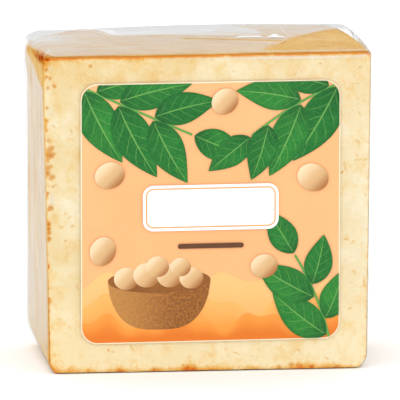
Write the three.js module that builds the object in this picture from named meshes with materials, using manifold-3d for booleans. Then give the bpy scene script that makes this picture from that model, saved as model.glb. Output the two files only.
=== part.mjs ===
// A square block of smoked tofu sealed in clear film, standing on its lower edge.
// The film is drawn tight over the block's crisp front edges and rounds off over its back edges.
// On the top it stands off as a low tent, and its seams lie folded flat on the back.
// A square label with round corners sits on the front.
// Millimetres, +Z up, the front towards -Y, the origin in the middle of the base.

import * as THREE from "three";
import { mergeVertices } from "three/addons/utils/BufferGeometryUtils.js";
import Module from "manifold-3d";

// Outline of the sealed block, as seen from the front: it leans out a little to the left at the top.
// A side gives its place at the bottom and at the top, the top its height at the left and at the right.
const packDepth = 41;
const halfWidth = 39.5;
const halfHeight = 38.8;
const frontOutline = { left: [-38.3, -40.2], right: [39.2, 39.5], top: [77.5, 77.8] };
const backOutline = { left: [-40.1, -40.4], right: [39.8, 40.2], top: [77.1, 77.1] };

// Rounding of the edges round the front and the back face.
const frontRadius = 1.1;
const backRadius = 6.5;

// Rounding of the four edges that run from front to back: [at the front, at the back].
const bottomLeftRadius = [1.1, 8];
const bottomRightRadius = [2.4, 7];
const topRightRadius = [0.9, 3.9];
const topLeftRadius = [1.4, 3.6];
const smallestRadius = 0.5;

// The tent of loose film over the top. Its foot, ridge and peak are shares of the height, depth and half width.
const tentLift = 1.15;
const tentCrown = 0.85;
const tentFoot = 0.75;
const tentRidge = 0.72;
const tentPeak = 0.25;

// Seams folded flat on the back: one down the middle and a fin at each end.
const seamThickness = 0.55;
const seamSink = 0.4;
const middleSeam = { x: 4, width: 9, low: 8.5, high: 69.5 };
const topFin = { width: 64, low: 55, high: 68, drape: 5.2, drapeOuter: 0.35, drapeInner: 0.75 };
const bottomFin = { width: 60, low: 9, high: 19 };

// The label.
const label = { width: 63, height: 63.6, corner: 4, thickness: 0.2, gap: 0.1 };
const labelPlace = { x: 0.6, z: 39.2, tilt: 0.35 };

// How finely the surface is cut into facets.
const arcSteps = 5;
const sideSteps = 12;
const wallSteps = 9;
const frontRoundSteps = 3;
const backRoundSteps = 7;
const capRings = [0.72, 0.42, 0.16];
const labelCurveSteps = 8;
const weldDistance = 1e-4;

const lerp = (from, to, share) => from + (to - from) * share;

// One ring of the outline: a rectangle with four round corners, anticlockwise as seen from the front.
function ringOutline(depthShare, inset) {
  const corners = [
    { sx: -1, sz: -1, radius: bottomLeftRadius, from: Math.PI },
    { sx: 1, sz: -1, radius: bottomRightRadius, from: 1.5 * Math.PI },
    { sx: 1, sz: 1, radius: topRightRadius, from: 0 },
    { sx: -1, sz: 1, radius: topLeftRadius, from: 0.5 * Math.PI },
  ].map((corner) => {
    const plainRadius = lerp(corner.radius[0], corner.radius[1], depthShare);
    const radius = Math.max(plainRadius - inset, smallestRadius);
    const centre = [
      corner.sx * (halfWidth - inset - radius),
      corner.sz * (halfHeight - inset - radius),
    ];
    const at = (angle) => [
      centre[0] + radius * Math.cos(angle),
      centre[1] + radius * Math.sin(angle),
    ];
    return { from: corner.from, at };
  });
  const points = [];
  corners.forEach((corner, index) => {
    const next = corners[(index + 1) % corners.length];
    for (let step = 0; step <= arcSteps; step++) {
      points.push(corner.at(corner.from + (step / arcSteps) * (Math.PI / 2)));
    }
    const start = corner.at(corner.from + Math.PI / 2);
    const end = next.at(next.from);
    for (let step = 1; step < sideSteps; step++) {
      const share = step / sideSteps;
      points.push([lerp(start[0], end[0], share), lerp(start[1], end[1], share)]);
    }
  });
  return points;
}

// How far the loose film stands off the block's top, from its middle line and its depth.
function tentHeight(across, depthShare) {
  const rise = Math.sin((Math.PI / 2) * Math.min(depthShare / tentRidge, 1));
  const offPeak = across - tentPeak;
  return rise * (tentLift + tentCrown * Math.max(1 - offPeak * offPeak, 0));
}

// Leans a point of the plain outline into the block's real, slightly uneven one.
function placed(x, z, y) {
  const depthShare = (y + packDepth / 2) / packDepth;
  const across = x / halfWidth;
  const up = (z + halfHeight) / (2 * halfHeight);
  const edge = (side, share) =>
    lerp(
      lerp(frontOutline[side][0], frontOutline[side][1], share),
      lerp(backOutline[side][0], backOutline[side][1], share),
      depthShare,
    );
  const acrossShare = (across + 1) / 2;
  const topHeight = edge("top", acrossShare);
  const nearTop = THREE.MathUtils.smoothstep(up, tentFoot, 1);
  return new THREE.Vector3(
    lerp(edge("left", up), edge("right", up), acrossShare),
    y,
    up * topHeight + nearTop * tentHeight(across, depthShare),
  );
}

// The rings from the front face to the back face: their depth and how far they are drawn in.
function ringStations() {
  const front = -packDepth / 2;
  const back = packDepth / 2;
  const stations = [];
  for (let step = 0; step <= frontRoundSteps; step++) {
    const angle = (step / frontRoundSteps) * (Math.PI / 2);
    stations.push({
      y: front + frontRadius * (1 - Math.cos(angle)),
      inset: frontRadius * (1 - Math.sin(angle)),
    });
  }
  for (let step = 1; step < wallSteps; step++) {
    stations.push({ y: lerp(front + frontRadius, back - backRadius, step / wallSteps), inset: 0 });
  }
  for (let step = 0; step <= backRoundSteps; step++) {
    const angle = (step / backRoundSteps) * (Math.PI / 2);
    stations.push({
      y: back - backRadius * (1 - Math.sin(angle)),
      inset: backRadius * (1 - Math.cos(angle)),
    });
  }
  return stations;
}

// The closed surface of the sealed block, without its seams.
function blockGeometry() {
  const rings = [];
  const addCap = (station, shares) => {
    const depthShare = (station.y + packDepth / 2) / packDepth;
    shares.forEach((share) => {
      const outline = ringOutline(depthShare, station.inset);
      rings.push(outline.map(([x, z]) => placed(x * share, z * share, station.y)));
    });
  };
  const stations = ringStations();
  addCap(stations[0], [...capRings].reverse());
  stations.forEach((station) => addCap(station, [1]));
  addCap(stations[stations.length - 1], capRings);

  const count = rings[0].length;
  const points = rings.flat();
  const triangles = [];
  for (let ring = 0; ring + 1 < rings.length; ring++) {
    for (let step = 0; step < count; step++) {
      const next = (step + 1) % count;
      const a = ring * count + step;
      const b = ring * count + next;
      const c = (ring + 1) * count + next;
      const d = (ring + 1) * count + step;
      triangles.push(a, c, b, a, d, c);
    }
  }
  const frontMiddle = points.push(placed(0, 0, stations[0].y)) - 1;
  const backMiddle = points.push(placed(0, 0, stations[stations.length - 1].y)) - 1;
  const lastRing = (rings.length - 1) * count;
  for (let step = 0; step < count; step++) {
    const next = (step + 1) % count;
    triangles.push(frontMiddle, step, next);
    triangles.push(backMiddle, lastRing + next, lastRing + step);
  }
  const geometry = new THREE.BufferGeometry().setFromPoints(points);
  geometry.setIndex(triangles);
  return geometry;
}

// A seam strip: its profile across the back, in depth and height, drawn out sideways.
function stripGeometry(profile, x, width) {
  const shape = new THREE.Shape(profile.map(([y, z]) => new THREE.Vector2(y, z)));
  const geometry = new THREE.ExtrudeGeometry(shape, { depth: width, bevelEnabled: false });
  geometry.applyMatrix4(new THREE.Matrix4().makeBasis(
    new THREE.Vector3(0, 1, 0),
    new THREE.Vector3(0, 0, 1),
    new THREE.Vector3(1, 0, 0),
  ));
  geometry.translate(x - width / 2, 0, 0);
  return geometry;
}

function flatStrip(x, width, low, high, thickness) {
  const inner = packDepth / 2 - seamSink;
  const outer = packDepth / 2 + thickness;
  return stripGeometry([[inner, low], [outer, low], [outer, high], [inner, high]], x, width);
}

// The top fin comes off the rounded back edge and hangs down flat over the middle seam.
function topFinGeometry() {
  const inner = packDepth / 2 - seamSink;
  const outer = packDepth / 2 + 2 * seamThickness;
  const edge = topFin.high + topFin.drape;
  return stripGeometry(
    [
      [inner, topFin.low],
      [outer, topFin.low],
      [outer, topFin.high],
      [outer - topFin.drapeOuter * topFin.drape, edge],
      [outer - topFin.drapeInner * topFin.drape, edge],
      [inner, topFin.high - topFin.drape],
    ],
    0,
    topFin.width,
  );
}

const wasm = await Module();
wasm.setup();

function solidOf(geometry) {
  const plain = geometry.clone();
  plain.deleteAttribute("normal");
  plain.deleteAttribute("uv");
  const merged = mergeVertices(plain, weldDistance);
  return new wasm.Manifold(
    new wasm.Mesh({
      numProp: 3,
      vertProperties: merged.attributes.position.array,
      triVerts: new Uint32Array(merged.index.array),
    }),
  );
}

function geometryOf(solid) {
  const mesh = solid.getMesh();
  const geometry = new THREE.BufferGeometry();
  geometry.setAttribute("position", new THREE.BufferAttribute(mesh.vertProperties, mesh.numProp));
  geometry.setIndex(new THREE.BufferAttribute(mesh.triVerts, 1));
  return geometry;
}

function sealedPack() {
  const seams = [
    flatStrip(middleSeam.x, middleSeam.width, middleSeam.low, middleSeam.high, seamThickness),
    flatStrip(0, bottomFin.width, bottomFin.low, bottomFin.high, 2 * seamThickness),
    topFinGeometry(),
  ];
  const solid = seams.reduce((whole, seam) => whole.add(solidOf(seam)), solidOf(blockGeometry()));
  const smokedCream = new THREE.MeshStandardMaterial({
    color: 0xf2deb0,
    roughness: 0.35,
    metalness: 0,
  });
  const mesh = new THREE.Mesh(geometryOf(solid), smokedCream);
  mesh.name = "sealed_block";
  return mesh;
}

function frontLabel() {
  const right = label.width / 2;
  const top = label.height / 2;
  const shape = new THREE.Shape();
  shape.moveTo(-right + label.corner, -top);
  shape.lineTo(right - label.corner, -top);
  shape.absarc(right - label.corner, -top + label.corner, label.corner, -Math.PI / 2, 0);
  shape.absarc(right - label.corner, top - label.corner, label.corner, 0, Math.PI / 2);
  shape.absarc(-right + label.corner, top - label.corner, label.corner, Math.PI / 2, Math.PI);
  shape.absarc(-right + label.corner, -top + label.corner, label.corner, Math.PI, 1.5 * Math.PI);
  const geometry = new THREE.ExtrudeGeometry(shape, {
    depth: label.thickness,
    curveSegments: labelCurveSteps,
    bevelEnabled: false,
  });
  const printedPeach = new THREE.MeshStandardMaterial({
    color: 0xfac98c,
    roughness: 0.4,
    metalness: 0,
  });
  const mesh = new THREE.Mesh(geometry, printedPeach);
  mesh.name = "front_label";
  mesh.rotation.set(Math.PI / 2, THREE.MathUtils.degToRad(-labelPlace.tilt), 0, "YXZ");
  mesh.position.set(labelPlace.x, -packDepth / 2 - label.gap, labelPlace.z);
  return mesh;
}

const pack = new THREE.Group();
pack.add(sealedPack(), frontLabel());

// Moves the whole so that the origin is in the middle of its base.
const bounds = new THREE.Box3().setFromObject(pack, true);
const middle = bounds.getCenter(new THREE.Vector3());
pack.position.set(-middle.x, -middle.y, -bounds.min.z);

const tofuPack = new THREE.Group();
tofuPack.add(pack);

export default tofuPack;
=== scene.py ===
import bpy
import itertools
import math
import numpy as np
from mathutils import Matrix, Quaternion, Vector


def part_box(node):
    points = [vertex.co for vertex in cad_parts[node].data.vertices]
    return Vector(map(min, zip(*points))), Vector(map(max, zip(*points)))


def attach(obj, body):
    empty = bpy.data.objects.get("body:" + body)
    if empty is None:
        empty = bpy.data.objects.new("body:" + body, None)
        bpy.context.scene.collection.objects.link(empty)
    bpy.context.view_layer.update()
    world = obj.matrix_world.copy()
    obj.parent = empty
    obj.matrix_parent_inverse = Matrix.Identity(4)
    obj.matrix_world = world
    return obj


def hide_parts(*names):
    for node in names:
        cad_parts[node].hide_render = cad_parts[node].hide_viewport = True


# Smoked tofu block in clear film with a printed label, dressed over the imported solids.
# The front of the block faces -Y. Sizes in the dictionaries are millimetres.

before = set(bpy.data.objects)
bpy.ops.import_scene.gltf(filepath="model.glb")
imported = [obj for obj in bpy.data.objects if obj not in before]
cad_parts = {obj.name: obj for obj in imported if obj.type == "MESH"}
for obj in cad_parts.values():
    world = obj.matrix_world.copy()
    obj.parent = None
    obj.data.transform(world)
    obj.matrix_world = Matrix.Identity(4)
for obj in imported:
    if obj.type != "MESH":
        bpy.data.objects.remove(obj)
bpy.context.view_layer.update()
mm = 0.001
print("frame loaded")

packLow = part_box("sealed_block")[0] / mm
labelLow, labelHigh = [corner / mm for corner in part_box("front_label")]
labelMiddle = (labelLow + labelHigh) / 2

# the same driving sizes as the solid that this replaces
pack = {
    "depth": 41.0,
    "halfWidth": 39.5,
    "halfHeight": 38.8,
    "front": {"left": (-38.3, -40.2), "right": (39.2, 39.5), "top": (77.5, 77.8)},
    "back": {"left": (-40.1, -40.4), "right": (39.8, 40.2), "top": (77.1, 77.1)},
    "frontRadius": 1.1,
    "backRadius": 6.5,
    "corners": {   # radius at the front, radius at the back, how late it grows
        "bottomLeft": (1.1, 8.0, 1.0),
        "bottomRight": (2.4, 7.0, 1.0),
        "topRight": (0.9, 3.9, 1.0),
        "topLeft": (1.4, 3.6, 1.0),
    },
    "tent": {"lift": 1.15, "crown": 0.85, "foot": 0.75, "ridge": 0.72, "peak": 0.25},
    "swell": {"out": 0.50, "deep": (18, 30)},   # the left side swells high up at the back
    "labelX": 0.6,
    "labelTilt": 0.35,
}
shiftX = labelMiddle.x - pack["labelX"]
frontPlane = packLow.y
shiftY = frontPlane + pack["depth"] / 2


# small helpers for values over the surface
def softNoise(points, cell, seed):
    # smooth random hills, -1 to 1, about one to a cell
    place = points / np.asarray(cell, float) + 512.37
    base = np.floor(place).astype(np.int64)
    share = place - base
    share = share * share * (3 - 2 * share)
    total = np.zeros(len(points))
    for corner in itertools.product((0, 1), repeat=3):
        key = base + np.array(corner)
        mixed = key[:, 0] * 73856093 ^ key[:, 1] * 19349663 ^ key[:, 2] * 83492791 ^ seed * 2654435
        mixed = (mixed ^ (mixed >> 13)) * 1274126177 & 0xFFFFFFFF
        value = ((mixed ^ (mixed >> 15)) & 0xFFFF) / 32767.5 - 1
        weight = np.prod(np.where(corner, share, 1 - share), axis=1)
        total += weight * value
    return total


def softPatches(points, cell, seed):
    # the same hills, 0 to 1
    return 0.5 + 0.5 * softNoise(points, cell, seed)


def smoothStep(low, high, value):
    share = np.clip((value - low) / (high - low), 0, 1)
    return share * share * (3 - 2 * share)


def inBand(value, low, high, soft):
    return smoothStep(low - soft, low + soft, value) * (1 - smoothStep(high - soft, high + soft, value))


def fadeOff(distance, reach, power=1):
    # 1 where the distance is nothing, and less and less further off
    return np.exp(-(distance / reach) ** power)


def swell(leftness, deep, z, heights):
    return pack["swell"]["out"] * leftness * smoothStep(*heights, z) * smoothStep(*pack["swell"]["deep"], deep)


# meshes
def addToScene(name, data):
    thing = bpy.data.objects.new(name, data)
    bpy.context.scene.collection.objects.link(thing)
    return thing


def meshPiece(name, points, faces, smooth=True):
    mesh = bpy.data.meshes.new(name)
    mesh.from_pydata((np.asarray(points) * mm).tolist(), [], faces)
    mesh.validate()
    mesh.polygons.foreach_set("use_smooth", [smooth] * len(mesh.polygons))
    mesh.update()
    return addToScene(name, mesh)


def paintValues(piece, name, values, middle=None):
    # one value for each point; middle is for the two points in the middle of the caps
    if middle is not None:
        values = np.append(values, [middle, middle])
    layer = piece.data.attributes.new(name, "FLOAT", "POINT")
    layer.data.foreach_set("value", np.asarray(values, np.float32))


def ringOutline(form, depthShare, inset, steps):
    # rectangle with round corners, anticlockwise seen from the front
    halfW, halfH = form["halfWidth"], form["halfHeight"]
    corners = []
    for name, sx, sz, start in (
        ("bottomLeft", -1, -1, math.pi),
        ("bottomRight", 1, -1, 1.5 * math.pi),
        ("topRight", 1, 1, 0.0),
        ("topLeft", -1, 1, 0.5 * math.pi),
    ):
        atFront, atBack, late = form["corners"][name]
        radius = max(atFront + (atBack - atFront) * max(depthShare, 0) ** late - inset, 0.5)
        centre = np.array([sx * (halfW - inset - radius), sz * (halfH - inset - radius)])
        corners.append((centre, radius, start))
    points = []
    for index, (centre, radius, start) in enumerate(corners):
        angles = start + np.linspace(0, math.pi / 2, steps["arc"] + 1)
        points.append(centre + radius * np.stack([np.cos(angles), np.sin(angles)], 1))
        nextCentre, nextRadius, nextStart = corners[(index + 1) % 4]
        nextPoint = nextCentre + nextRadius * np.array([math.cos(nextStart), math.sin(nextStart)])
        share = np.linspace(0, 1, steps["sides"][index] + 1)[1:-1, None]
        points.append(points[-1][-1] + (nextPoint - points[-1][-1]) * share)
    return np.concatenate(points)


def placed(form, flat, y):
    # leans the plain outline into the block's uneven one
    x, z = flat[:, 0], flat[:, 1]
    depthShare = (y + form["depth"] / 2) / form["depth"]
    across = x / form["halfWidth"]
    up = (z + form["halfHeight"]) / (2 * form["halfHeight"])
    acrossShare = (across + 1) / 2

    def edge(side, share):
        front, back = form["front"][side], form["back"][side]
        atFront = front[0] + (front[1] - front[0]) * share
        atBack = back[0] + (back[1] - back[0]) * share
        return atFront + (atBack - atFront) * depthShare

    tent = form["tent"]
    rise = math.sin(math.pi / 2 * min(depthShare / tent["ridge"], 1))
    lift = tent["lift"] + tent["crown"] * np.maximum(1 - (across - tent["peak"]) ** 2, 0)
    if "hollow" in form:
        depth, low, high, soft = form["hollow"]
        lift = lift - depth * inBand(x, low, high, soft)
    left, right = edge("left", up), edge("right", up)
    height = up * edge("top", acrossShare) + smoothStep(tent["foot"], 1, up) * rise * lift
    across = left + (right - left) * acrossShare + shiftX
    return np.stack([across, np.full(len(x), y + shiftY), height], 1)


def ringStations(form, steps):
    # depth and inset of each ring, and how far each cap ring is drawn to the middle
    front, back = -form["depth"] / 2, form["depth"] / 2
    rf, rb = form["frontRadius"], form["backRadius"]
    stations = [(front, rf, share) for share in steps["frontCap"]]
    for angle in np.linspace(0, math.pi / 2, steps["frontRound"] + 1):
        stations.append((front + rf * (1 - math.cos(angle)), rf * (1 - math.sin(angle)), 1.0))
    for y in np.linspace(front + rf, back - rb, steps["wall"] + 1)[1:-1]:
        stations.append((y, 0.0, 1.0))
    for angle in np.linspace(0, math.pi / 2, steps["backRound"] + 1):
        stations.append((back - rb * (1 - math.sin(angle)), rb * (1 - math.cos(angle)), 1.0))
    return stations + [(back, rb, share) for share in steps["backCap"]]


def capShares(bands):
    # shares of a cap's rings, from its border inwards; bands give (how far in, spacing)
    shares, done = [], 0.0
    for reach, spacing in bands:
        count = max(int(round((reach - done) / spacing)), 1)
        shares += [1 - (done + (reach - done) * (index + 1) / count) / pack["halfWidth"] for index in range(count)]
        done = reach
    return np.array(shares)


def crispFoot(grid):
    # the front edge sits down on its foot with a smaller round than the other edges
    deep = grid[..., 1] - frontPlane
    share = np.clip(grid[..., 2] / pack["frontRadius"], 0, 1)
    near = 1 - smoothStep(pack["frontRadius"], 2.5 * pack["frontRadius"], deep)
    grid[..., 2] *= 1 + near * (share - 1)
    return grid


def blockGrid(form, fineness):
    # the block's rings from the middle of its front to the middle of its back
    steps = dict(fineness["steps"], frontCap=capShares(fineness["frontBands"])[::-1],
                 backCap=capShares(fineness["backBands"]))
    rows = []
    for y, inset, share in ringStations(form, steps):
        flat = ringOutline(form, (y + form["depth"] / 2) / form["depth"], inset, steps) * share
        rows.append(placed(form, flat, y))
    return crispFoot(np.array(rows))


def readGrid(grid):
    # its points and normals, and the place across, behind the front and up of each
    around = np.roll(grid, -1, axis=1) - np.roll(grid, 1, axis=1)
    normal = np.cross(np.gradient(grid, axis=0), around)
    normal = normal / np.maximum(np.linalg.norm(normal, axis=2, keepdims=True), 1e-9)
    points = grid.reshape(-1, 3)
    return points, normal.reshape(-1, 3), points[:, 0] - shiftX, points[:, 1] - frontPlane, points[:, 2]


def ringPiece(name, points, rings, count):
    # closes the rings with a point in the middle of each cap
    points = points.reshape(rings, count, 3)
    closed = np.concatenate([points.reshape(-1, 3), points[0].mean(0)[None], points[-1].mean(0)[None]])
    step = np.arange(count)
    nextStep = (step + 1) % count
    faces = []
    for ring in range(rings - 1):
        a, b = ring * count, (ring + 1) * count
        faces.append(np.stack([a + step, b + step, b + nextStep, a + nextStep], 1))
    faces = np.concatenate(faces).tolist()
    frontMiddle, backMiddle, last = rings * count, rings * count + 1, (rings - 1) * count
    faces += [[frontMiddle, int(s), int(n)] for s, n in zip(step, nextStep)]
    faces += [[backMiddle, last + int(n), last + int(s)] for s, n in zip(step, nextStep)]
    return meshPiece(name, closed, faces)


# nodes
def newMaterial(name):
    material = bpy.data.materials.new(name)
    material.use_nodes = True
    material.node_tree.nodes.clear()
    return material, material.node_tree


def fillInput(tree, socket, value):
    if isinstance(value, bpy.types.NodeSocket):
        tree.links.new(value, socket)
    else:
        socket.default_value = value


def addNode(tree, kind, settings=None, **inputs):
    # inputs carry the names of their sockets, with _ for a space
    node = tree.nodes.new(kind)
    for key, value in (settings or {}).items():
        setattr(node, key, value)
    for key, value in inputs.items():
        fillInput(tree, node.inputs[key.replace("_", " ")], value)
    return node


def calc(tree, operation, *values, clamp=False):
    # works through the values two by two
    result = values[0]
    for other in values[1:] or (0.5,):
        node = addNode(tree, "ShaderNodeMath", {"operation": operation, "use_clamp": clamp})
        fillInput(tree, node.inputs[0], result)
        fillInput(tree, node.inputs[1], other)
        result = node.outputs[0]
    return result


def plus(tree, *values):
    return calc(tree, "ADD", *values)


def minus(tree, *values):
    return calc(tree, "SUBTRACT", *values)


def times(tree, *values):
    return calc(tree, "MULTIPLY", *values)


def mapValue(tree, value, low, high, start=0.0, end=1.0, shape="LINEAR"):
    node = addNode(tree, "ShaderNodeMapRange", {"interpolation_type": shape})
    for socket, part in zip(node.inputs, (value, low, high, start, end)):
        fillInput(tree, socket, part)
    return node.outputs[0]


def rampValue(tree, value, low, high, amount=None):
    # a soft step from low to high, made as high as the amount
    step = mapValue(tree, value, low, high, shape="SMOOTHSTEP")
    return step if amount is None else times(tree, step, amount)


def noiseValue(tree, vector, scale, detail=2.0, roughness=0.5, distortion=0.0):
    return addNode(tree, "ShaderNodeTexNoise", Vector=vector, Scale=scale, Detail=detail, Roughness=roughness,
                   Distortion=distortion).outputs["Fac"]


def mixColour(tree, factor, a, b, blend="MIX"):
    node = addNode(tree, "ShaderNodeMix", {"data_type": "RGBA", "blend_type": blend})
    for socket, value in ((node.inputs[0], factor), (node.inputs[6], a), (node.inputs[7], b)):
        fillInput(tree, socket, value)
    return node.outputs[2]


def attributeValue(tree, name):
    return addNode(tree, "ShaderNodeAttribute", {"attribute_name": name}).outputs["Fac"]


def objectPlace(tree):
    return addNode(tree, "ShaderNodeTexCoord").outputs["Object"]


def srgb(red, green, blue):
    # linear colour from 0-255 screen values
    def linear(value):
        value /= 255
        return value / 12.92 if value <= 0.04045 else ((value + 0.055) / 1.055) ** 2.4
    return (linear(red), linear(green), linear(blue), 1.0)


def layOut(tree):
    # sets the nodes out in columns, each to the left of all that it feeds
    column = {node.name: 0 for node in tree.nodes}
    links = [(link.from_node.name, link.to_node.name) for link in tree.links]
    for _ in column:
        for giver, taker in links:
            column[giver] = max(column[giver], column[taker] + 1)
    rows = dict.fromkeys(column.values(), 0)
    for node in tree.nodes:
        at = column[node.name]
        node.location = (-240 * at, -220 * rows[at])
        rows[at] += 1


def finishTree(tree, shader, kind="ShaderNodeOutputMaterial"):
    output = addNode(tree, kind)
    tree.links.new(shader.outputs[0], output.inputs["Surface"])
    layOut(tree)


def newGroup(name, inputs, outputs):
    group = bpy.data.node_groups.new(name, "ShaderNodeTree")
    for label, kind, value in inputs:
        socket = group.interface.new_socket(label, in_out="INPUT", socket_type=kind)
        if value is not None:
            socket.default_value = value
    for label in outputs:
        group.interface.new_socket(label, in_out="OUTPUT", socket_type="NodeSocketFloat")
    return group, group.nodes.new("NodeGroupInput").outputs, group.nodes.new("NodeGroupOutput").inputs


def placeGroup(tree, group, **inputs):
    return addNode(tree, "ShaderNodeGroup", {"node_tree": group}, **inputs).outputs


def makePrintGrain():
    # fine tooth of printed label stock
    group, given, result = newGroup(
        "printGrain", [("Vector", "NodeSocketVector", None), ("Size", "NodeSocketFloat", 1.0)], ["Height", "Tone"])
    fine = noiseValue(group, given["Vector"], calc(group, "DIVIDE", 4200.0, given["Size"]), 2.0, 0.6)
    slow = noiseValue(group, given["Vector"], 160.0, 3.0)
    group.links.new(fine, result["Height"])
    group.links.new(plus(group, times(group, fine, 0.5), times(group, slow, 0.5)), result["Tone"])
    layOut(group)
    return group


def makeFilmCrinkle():
    # the small crinkles of tight film, and the faint dull streaks in it
    group, given, result = newGroup(
        "filmCrinkle", [("Vector", "NodeSocketVector", None), ("Fine", "NodeSocketFloat", 900.0)], ["Height", "Streak"])
    slow = noiseValue(group, given["Vector"], 130.0, 3.0, 0.55, 0.6)
    fine = noiseValue(group, given["Vector"], given["Fine"], 2.0, 0.5, 0.4)
    group.links.new(plus(group, slow, times(group, fine, 0.12)), result["Height"])
    stretched = addNode(group, "ShaderNodeMapping", Vector=given["Vector"], Scale=(60, 420, 30))
    streak = noiseValue(group, stretched.outputs[0], 1.0, 3.0, 0.6, 0.5)
    group.links.new(rampValue(group, streak, 0.35, 0.7), result["Streak"])
    layOut(group)
    return group


printGrain = makePrintGrain()
filmCrinkle = makeFilmCrinkle()


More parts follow.
